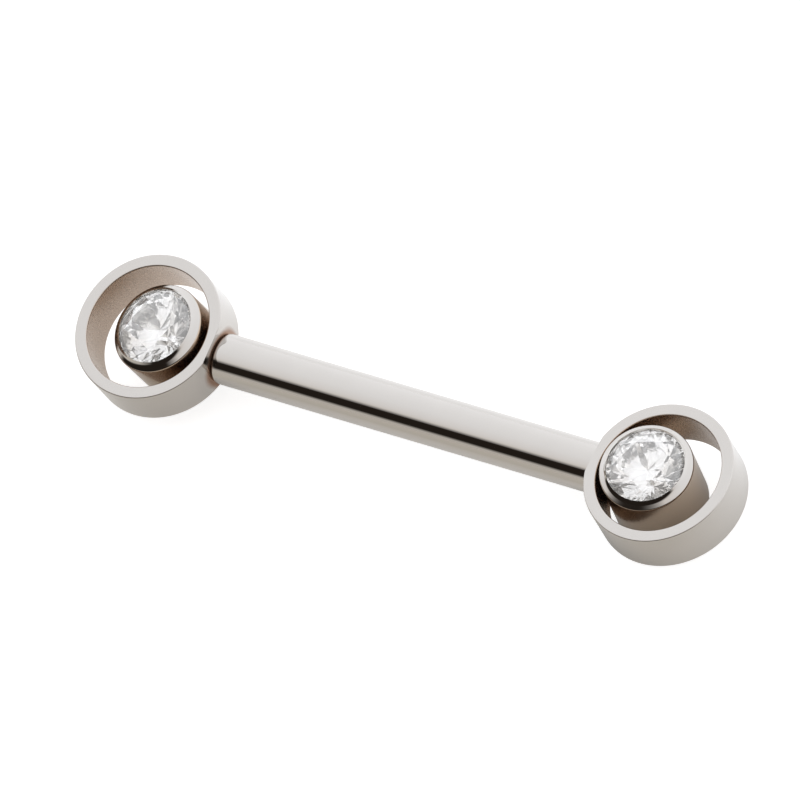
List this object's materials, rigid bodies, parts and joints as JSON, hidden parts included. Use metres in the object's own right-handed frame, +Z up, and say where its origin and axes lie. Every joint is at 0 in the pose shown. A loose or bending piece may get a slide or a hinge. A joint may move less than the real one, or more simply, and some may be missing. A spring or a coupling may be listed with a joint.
{
  "type": "straight barbell",
  "caption": "Straight body-jewellery barbell: a round polished bar whose ring ends pull off, each ring holding a round brilliant stone in a bezel cup.",
  "frame": {"origin": "on the surface that the piece rests on, under the middle of the bar", "axes": "+X along the bar to the right end, +Z up out of the stones' side, +Y towards the back of the picture's view"},
  "size_m": [0.0236, 0.005, 0.0031],
  "materials": {
    "polished_steel": "mirror polished surgical steel",
    "satin_steel": "finely satined surgical steel with a polished cup",
    "crystal": "clear faceted cubic zirconia"
  },
  "bodies": {
    "bar": {"bar": "polished_steel"},
    "left_end": {"left_setting": "satin_steel", "left_stone": "crystal"},
    "right_end": {"right_setting": "satin_steel", "right_stone": "crystal"}
  },
  "joints": [
    {"name": "left_pull", "type": "slide", "parent": "bar", "child": "left_end", "axis": [-1, 0, 0], "range_m": [0, 0.005]},
    {"name": "right_pull", "type": "slide", "parent": "bar", "child": "right_end", "axis": [1, 0, 0], "range_m": [0, 0.005]}
  ]
}
